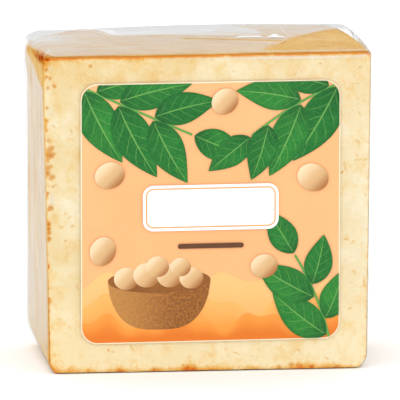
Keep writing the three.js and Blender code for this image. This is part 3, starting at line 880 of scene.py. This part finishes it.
def makeFilm():
    grid = blockGrid(dict(pack, corners=dict(pack["corners"], **film["corners"])), film)
    points, normal, x, deep, z = readGrid(grid)
    sides = {
        name: smoothStep(low, high, way * normal[:, axis])
        for name, axis, way, low, high in (
            ("top", 2, 1, 0.35, 0.8), ("bottom", 2, -1, 0.2, 0.6), ("left", 0, -1, 0.5, 0.9), ("right", 0, 1, 0.5, 0.9),
            ("back", 1, 1, 0.5, 0.9), ("front", 1, -1, 0.5, 0.9))
    }
    outward, hazeAndHighlight = filmRelief(points, x, deep, z, sides)
    veil = filmVeil(points, normal, x, deep, z, sides)
    for name, mask in milkyPlaces(points, normal, x, deep, z, sides).items():
        extra, white = film["milky"][name]
        veil += extra * mask
        hazeAndHighlight = np.maximum(hazeAndHighlight, white * mask)
    frayX, frayDeep = [amount * softNoise(points, (1.2, 1.2, 9.0), film["seed"] + 16 + index)
                       for index, amount in enumerate(film["fray"])]
    # painted glints: white patches on the top
    for *corners, white in film["glints"]:
        hazeAndHighlight = np.maximum(hazeAndHighlight, sides["top"] * white * insideCorners(x + frayX, deep + frayDeep, corners, 0.45))

    moved = points + normal * outward[:, None]
    moved[:, 2] = np.maximum(moved[:, 2], 0)
    piece = ringPiece("film_wrap", moved, *grid.shape[:2])
    # the white share holds milky film and the painted highlights of creases and glints
    paintValues(piece, "veil", np.clip(veil, 0, 2), 1.0)
    paintValues(piece, "hazeAndHighlight", np.clip(hazeAndHighlight, 0, 1), 0.0)
    return piece


def mixShaders(tree, share, first, second):
    mixed = addNode(tree, "ShaderNodeMixShader", Fac=share)
    tree.links.new(first.outputs[0], mixed.inputs[1])
    tree.links.new(second.outputs[0], mixed.inputs[2])
    return mixed


def makeFilmMaterial():
    material, tree = newMaterial("clearFilm")
    crinkle = placeGroup(tree, filmCrinkle, Vector=objectPlace(tree), Fine=700.0)
    bump = addNode(tree, "ShaderNodeBump", Strength=0.35, Distance=0.0006, Height=crinkle["Height"]).outputs[0]

    # seen from inside, the index is turned over so that the film shines alike from both sides
    inside = addNode(tree, "ShaderNodeNewGeometry").outputs["Backfacing"]
    index = calc(tree, "POWER", 1.5, minus(tree, 1.0, times(tree, inside, 2.0)))
    edgeOn = addNode(tree, "ShaderNodeFresnel", IOR=index, Normal=bump).outputs[0]
    bothFaces = minus(tree, times(tree, edgeOn, 2.0), times(tree, edgeOn, edgeOn))
    share = calc(tree, "MULTIPLY", bothFaces, attributeValue(tree, "veil"), clamp=True)
    clear = addNode(tree, "ShaderNodeBsdfTransparent", Color=film["clear"])
    dull = mapValue(tree, crinkle["Streak"], 0.0, 1.0, *film["roughness"])
    gloss = addNode(tree, "ShaderNodeBsdfAnisotropic", Color=film["shine"], Roughness=dull, Normal=bump)
    # white diffuse: milky film, and the painted highlights on the creases and glints
    white = addNode(tree, "ShaderNodeBsdfDiffuse", Color=film["milk"])
    shiny = mixShaders(tree, share, clear, gloss)
    finishTree(tree, mixShaders(tree, attributeValue(tree, "hazeAndHighlight"), shiny, white))
    return material


filmWrap = makeFilm()
filmMaterial = makeFilmMaterial()
filmWrap.data.materials.append(filmMaterial)
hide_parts("sealed_block")
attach(filmWrap, "root")
print("film made")


# the film's seams on the back
seams = {
    "thickness": 0.55,
    "sink": 0.05,
    "crimp": (1.5, 0.12),        # spacing and depth of the pressed lines on the fins
    "veil": (0.7, 0.5, 0.5),     # where smooth, more where rubbed, and all of it taken down to
    "milk": (0.05, 0.10),        # plain and pressed
    "middle": {"x": 4.0, "width": 9.0, "low": 19.05, "high": 54.95},
    "top": {"x": 0.0, "width": 64.0, "low": 55.0, "high": 68.0, "drape": 5.2, "drapeOuter": 0.35, "drapeInner": 0.75},
    "bottom": {"x": 0.0, "width": 60.0, "low": 9.0, "high": 19.0},
}


def seamPiece(name, profile, crimped):
    # a flat strip: its closed profile (depth, height), carried across the back
    strip = seams[name]
    spacing, depth = seams["crimp"]
    corners = np.array(profile)
    path = []
    for start, end in zip(corners, np.roll(corners, -1, axis=0)):
        steps = max(int(np.linalg.norm(end - start) / 0.4), 1)
        path.append(start + (end - start) * np.linspace(0, 1, steps + 1)[:-1, None])
    path = np.concatenate(path)
    rows = []
    for x in np.linspace(-strip["width"] / 2, strip["width"] / 2, int(strip["width"] / 0.6) + 1):
        row = np.stack([np.full(len(path), strip["x"] + x), path[:, 0], path[:, 1]], 1)
        outer = smoothStep(pack["depth"] / 2 + 0.1, pack["depth"] / 2 + 0.4, row[:, 1])
        pressed = 0.5 + 0.5 * np.sin(2 * math.pi * row[:, 2] / spacing)
        row[:, 1] -= outer * (depth * pressed * crimped + 0.10 * softPatches(row, (6.0, 6.0, 9.0), 71))
        tip = 0.12 * softPatches(row[:1], (2.5, 9.0, 9.0), 72)
        row[:, 2] += tip * np.where(row[:, 2] < corners[:, 1].mean(), 1, -1)
        rows.append(row)
    grid = np.array(rows)[::-1] + np.array([shiftX, shiftY, 0])
    piece = ringPiece(f"seam_{name}", grid, *grid.shape[:2])
    pressed = 0.5 + 0.5 * np.sin(2 * math.pi * grid[..., 2].ravel() / spacing)
    rubbed = smoothStep(0.1, 0.9, softPatches(grid.reshape(-1, 3), (5.0, 5.0, 3.0), 73))
    smooth, more, whole = seams["veil"]
    paintValues(piece, "veil", whole * (smooth + more * rubbed), 1.0)
    paintValues(piece, "hazeAndHighlight", seams["milk"][crimped] * (0.5 + 0.5 * rubbed + 0.7 * pressed * crimped), 0.0)
    piece.data.materials.append(filmMaterial)
    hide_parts("sealed_block")
    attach(piece, "root")


def makeSeams():
    back, thick = pack["depth"] / 2, seams["thickness"]
    inner = back - seams["sink"]
    for name, crimped in (("middle", 0), ("bottom", 1)):
        outer, low, high = back + thick * (1 + crimped), seams[name]["low"], seams[name]["high"]
        seamPiece(name, [(inner, low), (outer, low), (outer, high), (inner, high)], crimped)
    top = seams["top"]
    outer, tip = back + 2 * thick, top["high"] + top["drape"]
    seamPiece("top", [
        (inner, top["low"]), (outer, top["low"]), (outer, top["high"]),
        (outer - top["drapeOuter"] * top["drape"], tip), (outer - top["drapeInner"] * top["drape"], tip),
        (inner, top["high"] - top["drape"])], 1)


makeSeams()
print("seams made")


# the label
label = {
    "halfWidth": 31.5,
    "halfHeight": 31.8,
    "corner": 4.0,
    "margin": 0.28,              # shapes are cut off this far inside the label's edge
    "field": srgb(244, 178, 121),
    "fieldGlow": srgb(246, 182, 127),
    "paper": srgb(250, 240, 220),
    "rim": (0.15, 0.26, srgb(245, 228, 192)),    # pale line round the print: how far in, width, colour
    "firstLayer": 0.03,          # how far the first printed shape is in front of the label
    "layer": 0.008,              # each printed shape lies this far in front of the one before
    # stems: start, pull, end; then leaves as (share along, side, length, width)
    "branches": [
        ((-31.0, 31.0), (-17.0, 24.5), (-4.5, 19.0), [
            (0.00, -1, 20.0, 9.6), (0.10, 1, 14.0, 7.0), (0.30, 1, 18.0, 8.6), (0.30, -1, 20.0, 9.6),
            (0.62, 1, 16.0, 8.0), (0.62, -1, 17.5, 8.8), (1.0, 0, 14.0, 7.6)]),
        ((31.5, 31.0), (20.0, 26.5), (10.0, 18.5), [
            (0.02, 1, 21.0, 9.8), (0.10, -1, 14.0, 7.2), (0.40, -1, 16.0, 7.8), (0.42, 1, 19.0, 9.0),
            (0.80, 1, 14.0, 7.6), (1.0, 0, 13.0, 7.0)]),
        ((29.0, -32.0), (26.5, -21.0), (20.5, -11.0), [
            (0.04, 1, 17.0, 8.6), (0.22, -1, 13.0, 7.2), (0.48, 1, 16.5, 8.4), (0.62, -1, 12.5, 7.0),
            (1.0, 0, 12.5, 7.0)]),
    ],
    "stemWidth": 0.55,
    "spread": 40.0,              # angle between a leaf and its stem
    "leafBend": 12.0,
    "leafDark": srgb(4, 78, 30),
    "leafGreen": srgb(16, 106, 38),
    "leafLight": srgb(44, 134, 48),
    "vein": srgb(104, 162, 78),
    # seeds: across, up, half length, half width, turn
    "seeds": [
        (-24.5, 9.5, 3.7, 3.2, 20), (24.8, 8.0, 3.9, 3.3, -25), (-26.2, -9.0, 3.6, 3.1, 65),
        (13.0, -13.5, 3.3, 2.9, 10), (3.4, 27.0, 3.4, 3.0, 40),
    ],
    "seedColour": srgb(214, 174, 124),
    "seedLight": srgb(238, 212, 172),
    "seedDark": srgb(168, 108, 56),
    # waves: height at the left, swing, wave length, phase, colours at the foot and the crest
    "waves": [
        (-18.0, 2.6, 31.0, 0.4, srgb(240, 172, 96), srgb(244, 190, 122)),
        (-22.5, 2.2, 24.0, 2.1, srgb(234, 150, 62), srgb(242, 176, 96)),
        (-26.8, 1.8, 19.0, 4.0, srgb(222, 118, 34), srgb(236, 150, 62)),
    ],
    "bowl": {"x": -12.5, "rim": -16.5, "halfWidth": 12.5, "deep": 12.0, "open": 3.0},
    # rounds in the bowl: across and up from the middle of its rim, half length
    "rounds": [(-8.0, 0.6, 3.0), (-3.0, 1.4, 3.3), (2.6, 1.2, 3.2), (7.8, 0.5, 2.9), (-0.4, 3.4, 2.8), (5.2, 3.2, 2.5)],
    "clay": srgb(172, 110, 46),
    "clayDark": srgb(124, 74, 30),
    "clayLight": srgb(202, 146, 78),
    "plaque": {"x": 0.0, "z": 1.2, "halfWidth": 16.5, "halfHeight": 5.6, "corner": 2.6, "line": (0.9, 0.3)},
    "white": srgb(244, 243, 240),
    "amber": (srgb(232, 150, 70), srgb(240, 170, 96)),
    "bar": {"x": 0.0, "z": -8.2, "halfWidth": 8.0, "halfHeight": 0.6},
    "brown": (srgb(92, 58, 36), srgb(110, 70, 44)),
}


def roundedOutline(halfWidth, halfHeight, corner, arcSteps=8):
    points = []
    for sx, sz, start in ((-1, -1, math.pi), (1, -1, 1.5 * math.pi), (1, 1, 0), (-1, 1, 0.5 * math.pi)):
        for angle in np.linspace(start, start + math.pi / 2, arcSteps + 1):
            points.append((sx * (halfWidth - corner) + corner * math.cos(angle),
                           sz * (halfHeight - corner) + corner * math.sin(angle)))
    return np.array(points)


labelEdge = roundedOutline(label["halfWidth"] - label["margin"], label["halfHeight"] - label["margin"],
                           label["corner"] - 0.16)


def clipToLabel(polygon):
    # keeps the part of a small polygon that is on the label; each point carries its values along
    for start, end in zip(labelEdge, np.roll(labelEdge, -1, axis=0)):
        side = (end[0] - start[0]) * (polygon[:, 1] - start[1]) - (end[1] - start[1]) * (polygon[:, 0] - start[0])
        if (side >= 0).all():
            continue
        kept = []
        for here in range(len(polygon)):
            there = (here + 1) % len(polygon)
            if side[here] >= 0:
                kept.append(polygon[here])
            if (side[here] >= 0) != (side[there] >= 0):
                share = side[here] / (side[here] - side[there])
                kept.append(polygon[here] + (polygon[there] - polygon[here]) * share)
        if len(kept) < 3:
            return None
        polygon = np.array(kept)
    return polygon


class PrintSheet:
    # gathers printed shapes; rows are (across, up, along, side, tone) in the label's own plane
    layerCount = 0

    def __init__(self):
        self.points, self.faces = [], []

    def addGrid(self, grid, clipped=True):
        PrintSheet.layerCount += 1
        lift = label["firstLayer"] + label["layer"] * PrintSheet.layerCount
        quads = np.stack([grid[:-1, :-1], grid[:-1, 1:], grid[1:, 1:], grid[1:, :-1]], 2)
        for quad in quads.reshape(-1, 4, grid.shape[2]):
            polygon = clipToLabel(quad) if clipped else quad
            if polygon is None:
                continue
            if np.cross(polygon[1, :2] - polygon[0, :2], polygon[2, :2] - polygon[0, :2]) < 0:
                polygon = polygon[::-1]
            first = len(self.points)
            self.points += [np.append(point, lift) for point in polygon]
            self.faces.append(list(range(first, first + len(polygon))))

    def finish(self, name, material):
        rows = np.array(self.points)
        tilt = math.radians(pack["labelTilt"])
        across = rows[:, 0] * math.cos(tilt) - rows[:, 1] * math.sin(tilt)
        up = rows[:, 0] * math.sin(tilt) + rows[:, 1] * math.cos(tilt)
        points = np.stack([labelMiddle.x + across, labelLow.y - rows[:, 5], labelMiddle.z + up], 1)
        piece = meshPiece(name, points, self.faces, smooth=False)
        for index, value in enumerate(("along", "side", "tone")):
            paintValues(piece, value, rows[:, 2 + index])
        piece.data.materials.append(material)
        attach(piece, "root")


def printShapes(name, material, grids, clipped=True):
    sheet = PrintSheet()
    for grid in grids:
        sheet.addGrid(grid, clipped)
    sheet.finish(name, material)


def printRow(across, up, along, side, tone=0.5):
    return np.column_stack(np.broadcast_arrays(across, up, along, side, tone))


def leafGrid(base, angle, length, width, tone, bend):
    share = np.linspace(0, 1, 25)
    turn = np.radians(angle + bend * (share - 0.3))
    middle = np.stack([np.cumsum(np.cos(turn)), np.cumsum(np.sin(turn))], 1) * length / 24 + base
    half = width / 2 * np.sin(math.pi * share ** 0.82) ** 0.9 * (1.06 - 0.2 * share)
    sideways = np.stack([-np.sin(turn), np.cos(turn)], 1) * half[:, None]
    return np.array([printRow(*(middle + sideways * side).T, share, side, tone) for side in np.linspace(-1, 1, 9)])


def ovalGrid(x, z, halfLength, halfWidth, turn, rings=6, spokes=36):
    cos, sin = math.cos(math.radians(turn)), math.sin(math.radians(turn))
    angles = np.linspace(0, 2 * math.pi, spokes + 1)
    rows = []
    for radius in np.linspace(0.001, 1, rings):
        a, b = radius * np.cos(angles), radius * np.sin(angles)
        u, v = a * halfLength, b * halfWidth
        rows.append(printRow(x + u * cos - v * sin, z + u * sin + v * cos, a * cos - b * sin, a * sin + b * cos))
    return np.array(rows)


def plateGrid(x, z, outline):
    closed = np.vstack([outline, outline[:1]])
    return np.array([printRow(*(closed * share + (x, z)).T, share, 0.0) for share in (0.0005, 1.0)])


def stripGrid(path, width):
    heading = np.gradient(path, axis=0)
    heading /= np.linalg.norm(heading, axis=1, keepdims=True)
    sideways = np.stack([-heading[:, 1], heading[:, 0]], 1) * width / 2
    share = np.linspace(0, 1, len(path))
    return np.array([printRow(*(path + sideways * side).T, share, side) for side in (-1, 1)])


def frameGrid(x, z, outline, width):
    return stripGrid(np.vstack([outline, outline[:1]]) + (x, z), width)


def waveGrid(height, swing, wavelength, phase):
    u = np.linspace(-label["halfWidth"], label["halfWidth"], 90)
    turn = 2 * math.pi * u / wavelength
    crest = height + swing * np.sin(turn + phase) + 0.5 * swing * np.sin(turn / 0.43 + 2 * phase)
    low = -label["halfHeight"]
    return np.array([printRow(u, low + (crest - low) * share, u / label["halfWidth"], share)
                     for share in np.linspace(0, 1, 7)])


def bowlGrid(bowl):
    u = np.linspace(-1, 1, 49)
    rim = bowl["rim"] - bowl["open"] * np.sqrt(np.maximum(1 - u ** 2, 0))
    foot = bowl["rim"] - bowl["deep"] * np.maximum(1 - np.abs(u) ** 3.2, 0) ** 0.6
    return np.array([printRow(bowl["x"] + u * bowl["halfWidth"], rim + (foot - rim) * share, u, share)
                     for share in np.linspace(0, 1, 7)])


def printMaterial(name, painter):
    material, tree = newMaterial(name)
    place = objectPlace(tree)
    values = [attributeValue(tree, value) for value in ("along", "side", "tone")]
    grain = placeGroup(tree, printGrain, Vector=place, Size=1.0)
    shade = mapValue(tree, grain["Tone"], 0.3, 0.7, 0.965, 1.035)
    shaded = addNode(tree, "ShaderNodeVectorMath", {"operation": "SCALE"}, Vector=painter(tree, place, *values),
                     Scale=shade).outputs[0]
    bump = addNode(tree, "ShaderNodeBump", Strength=0.15, Distance=0.00005, Height=grain["Height"]).outputs[0]
    finishTree(tree, addNode(tree, "ShaderNodeBsdfPrincipled", Base_Color=shaded, Roughness=0.42, Normal=bump,
                             Specular_IOR_Level=0.25))
    return material


def paintField(tree, place, along, side, tone):
    # peach on its face, paper at its cut edge
    cloud = noiseValue(tree, place, 26.0)
    colour = mixColour(tree, rampValue(tree, cloud, 0.3, 0.7), label["field"], label["fieldGlow"])
    facing = addNode(tree, "ShaderNodeNewGeometry").outputs["True Normal"]
    flatPart = addNode(tree, "ShaderNodeSeparateXYZ", Vector=facing).outputs["Y"]
    cutEdge = rampValue(tree, calc(tree, "ABSOLUTE", flatPart), 0.7, 0.3)
    return mixColour(tree, cutEdge, colour, label["paper"])


def paintLeaf(tree, place, along, side, tone):
    cloud = noiseValue(tree, place, 260.0, 4.0, 0.65)
    amount = plus(tree, times(tree, tone, 0.45), times(tree, cloud, 0.75))
    colour = mixColour(tree, rampValue(tree, amount, 0.30, 0.90), label["leafGreen"], label["leafLight"])
    fine = noiseValue(tree, place, 1700.0, 3.0, 0.7)
    colour = mixColour(tree, rampValue(tree, fine, 0.40, 0.70, 0.35), colour, label["leafDark"])
    # darker towards its foot, along its rim and over one half
    away = calc(tree, "ABSOLUTE", side)
    shades = calc(tree, "MAXIMUM", rampValue(tree, side, 0.02, -0.02, 0.30), rampValue(tree, along, 0.42, 0.0, 0.75),
                  rampValue(tree, away, 0.70, 1.0, 0.35))
    colour = mixColour(tree, shades, colour, label["leafDark"])
    # midrib, side veins and a fine net
    slanted = plus(tree, minus(tree, times(tree, along, 6.0), times(tree, away, 1.5)), times(tree, cloud, 0.5))
    band = calc(tree, "ABSOLUTE", minus(tree, calc(tree, "FRACT", slanted), 0.5))
    sideVein = times(tree, rampValue(tree, band, 0.065, 0.015), rampValue(tree, away, 0.98, 0.5), 0.5)
    cells = addNode(tree, "ShaderNodeTexVoronoi", {"feature": "DISTANCE_TO_EDGE"}, Vector=place, Scale=620.0)
    net = rampValue(tree, cells.outputs["Distance"], 0.07, 0.0, 0.12)
    veins = calc(tree, "MAXIMUM", rampValue(tree, away, 0.060, 0.022, 0.9), sideVein, net)
    return mixColour(tree, veins, colour, label["vein"])


def paintSeed(tree, place, along, side, tone):
    # light from the upper left rounds the seed off
    toLight = minus(tree, times(tree, side, 0.55), times(tree, along, 0.6))
    colour = mixColour(tree, rampValue(tree, toLight, -0.1, 0.75), label["seedColour"], label["seedLight"])
    return mixColour(tree, rampValue(tree, toLight, -0.05, -0.85), colour, label["seedDark"])


def paintClay(tree, place, along, side, tone):
    fleck = noiseValue(tree, place, 1500.0, 3.0, 0.7)
    colour = mixColour(tree, rampValue(tree, fleck, 0.35, 0.7), label["clayDark"], label["clay"])
    return mixColour(tree, rampValue(tree, along, 0.5, -0.9, 0.6), colour, label["clayLight"])


def paintWave(lowColour, highColour):
    def painter(tree, place, along, side, tone):
        return mixColour(tree, rampValue(tree, side, 0.2, 1.0), lowColour, highColour)
    return painter


def paintPlain(colour, other):
    def painter(tree, place, along, side, tone):
        return mixColour(tree, times(tree, noiseValue(tree, place, 300.0), 0.5), colour, other)
    return painter


def makeBranches():
    leaves, stems = PrintSheet(), PrintSheet()
    tones = np.random.default_rng(5)
    for start, pull, end, entries in label["branches"]:
        start, pull, end = map(np.array, (start, pull, end))

        def onStem(at):
            return start * (1 - at) ** 2 + pull * 2 * at * (1 - at) + end * at ** 2

        stems.addGrid(stripGrid(onStem(np.linspace(0, 1, 30)[:, None]), label["stemWidth"]))
        for at, side, length, width in entries:
            heading = (pull - start) * (1 - at) + (end - pull) * at
            angle = math.degrees(math.atan2(heading[1], heading[0])) + side * label["spread"]
            tone = tones.uniform(0.1, 0.9)
            leaves.addGrid(leafGrid(onStem(at), angle, length, width, tone, -label["leafBend"] * side))
    leaves.finish("print_leaves", printMaterial("leafPrint", paintLeaf))
    stems.finish("print_stems", printMaterial("stemPrint", paintPlain(label["vein"], label["leafLight"])))


def makeLabel():
    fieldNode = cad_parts["front_label"]
    fieldNode.data.materials.clear()
    fieldNode.data.materials.append(printMaterial("peachPrint", paintField))

    inset, width, rimColour = label["rim"]
    outline = roundedOutline(label["halfWidth"] - inset, label["halfHeight"] - inset, label["corner"] - inset / 2)
    printShapes("print_rim", printMaterial("rimPrint", paintPlain(rimColour, label["paper"])),
                [frameGrid(0, 0, outline, width)], clipped=False)
    for number, (*wave, lowColour, highColour) in enumerate(label["waves"], 1):
        printShapes(f"print_wave_{number}", printMaterial(f"wavePrint{number}", paintWave(lowColour, highColour)),
                    [waveGrid(*wave)])

    # the bowl: its opening, the rounds in it, then its body
    bowl = label["bowl"]
    printShapes("print_bowl_inside", printMaterial("bowlInsidePrint", paintPlain(label["clayDark"], label["clay"])),
                [ovalGrid(bowl["x"], bowl["rim"], bowl["halfWidth"], bowl["open"], 0)])
    printShapes("print_bowl_rounds", printMaterial("roundPrint", paintSeed),
                [ovalGrid(bowl["x"] + across, bowl["rim"] + up, size, size * 0.92, 0)
                 for across, up, size in label["rounds"]])
    printShapes("print_bowl", printMaterial("clayPrint", paintClay), [bowlGrid(bowl)])

    makeBranches()
    printShapes("print_seeds", printMaterial("seedPrint", paintSeed), [ovalGrid(*seed) for seed in label["seeds"]])

    plaque, bar = label["plaque"], label["bar"]
    outline = roundedOutline(plaque["halfWidth"], plaque["halfHeight"], plaque["corner"])
    printShapes("print_plaque", printMaterial("whitePrint", paintPlain(label["white"], label["white"])),
                [plateGrid(plaque["x"], plaque["z"], outline)])
    inset, width = plaque["line"]
    outline = roundedOutline(plaque["halfWidth"] - inset, plaque["halfHeight"] - inset, plaque["corner"] - inset)
    printShapes("print_plaque_line", printMaterial("amberPrint", paintPlain(*label["amber"])),
                [frameGrid(plaque["x"], plaque["z"], outline, width)])
    outline = roundedOutline(bar["halfWidth"], bar["halfHeight"], bar["halfHeight"])
    printShapes("print_bar", printMaterial("brownPrint", paintPlain(*label["brown"])),
                [plateGrid(bar["x"], bar["z"], outline)])


makeLabel()
print("label made")


# floor, light and camera
stage = {
    "floorSize": 8.0,
    "floorDrop": 0.00005,
    "floorColour": (0.93, 0.93, 0.93, 1),
    "horizon": 1.08,
    "overhead": 1.32,
    # softboxes: azimuth seen from above (0 is in front), elevation, distance, width, height, radiance
    "panels": [
        (208, 30, 1.0, 0.30, 0.12, 6.0),
        (-18, 42, 1.2, 0.60, 0.40, 1.8),
    ],
    "panelAim": (0, 0, 0.04),
}
camera = {"azimuth": -7.5, "elevation": 10.4, "distance": 2.0, "roll": 0.396, "pixels": 8220.0, "image": 400,
          "target": (0.86, -0.4, 38.33), "sensor": 36.0}


def direction(azimuth, elevation):
    a, e = math.radians(azimuth), math.radians(elevation)
    return Vector((math.sin(a) * math.cos(e), -math.cos(a) * math.cos(e), math.sin(e)))


def makeFloor():
    half = stage["floorSize"] / 2
    mesh = bpy.data.meshes.new("floor")
    mesh.from_pydata([(-half, -half, 0), (half, -half, 0), (half, half, 0), (-half, half, 0)], [], [(0, 1, 2, 3)])
    material, tree = newMaterial("paleFloor")
    finishTree(tree, addNode(tree, "ShaderNodeBsdfDiffuse", Color=stage["floorColour"]))
    mesh.materials.append(material)
    floor = addToScene("floor", mesh)
    floor.location.z = -stage["floorDrop"]


def makeLights():
    world = bpy.data.worlds.new("studio")
    world.use_nodes = True
    bpy.context.scene.world = world
    tree = world.node_tree
    tree.nodes.clear()
    way = addNode(tree, "ShaderNodeTexCoord").outputs["Generated"]
    height = addNode(tree, "ShaderNodeSeparateXYZ", Vector=way).outputs["Z"]
    brightness = mapValue(tree, height, 0.0, 0.7, stage["horizon"], stage["overhead"])
    sky = addNode(tree, "ShaderNodeBackground", Color=(1, 1, 1, 1), Strength=brightness)
    finishTree(tree, sky, "ShaderNodeOutputWorld")

    for index, (azimuth, elevation, distance, width, tall, radiance) in enumerate(stage["panels"]):
        light = bpy.data.lights.new(f"softbox{index}", "AREA")
        light.shape = "RECTANGLE"
        light.size, light.size_y = width, tall
        light.energy = radiance * math.pi * width * tall
        lamp = addToScene(f"softbox{index}", light)
        way = direction(azimuth, elevation)
        lamp.location = way * distance + Vector(stage["panelAim"])
        lamp.rotation_euler = way.to_track_quat("Z", "Y").to_euler()
        lamp.visible_camera = False
    bpy.context.scene.view_settings.view_transform = "Standard"


def makeCamera():
    data = bpy.data.cameras.new("camera")
    data.sensor_width = camera["sensor"]
    data.lens = camera["pixels"] / camera["image"] * camera["sensor"]
    data.clip_start, data.clip_end = 0.1, 20
    body = addToScene("camera", data)
    back = direction(camera["azimuth"], camera["elevation"])
    body.location = Vector(camera["target"]) * mm + back * camera["distance"]
    facing = (-back).to_track_quat("-Z", "Y")
    body.rotation_mode = "QUATERNION"
    body.rotation_quaternion = facing @ Quaternion((0, 0, 1), math.radians(camera["roll"]))
    bpy.context.scene.camera = body


makeFloor()
makeLights()
makeCamera()
print("floor, lights and camera made")
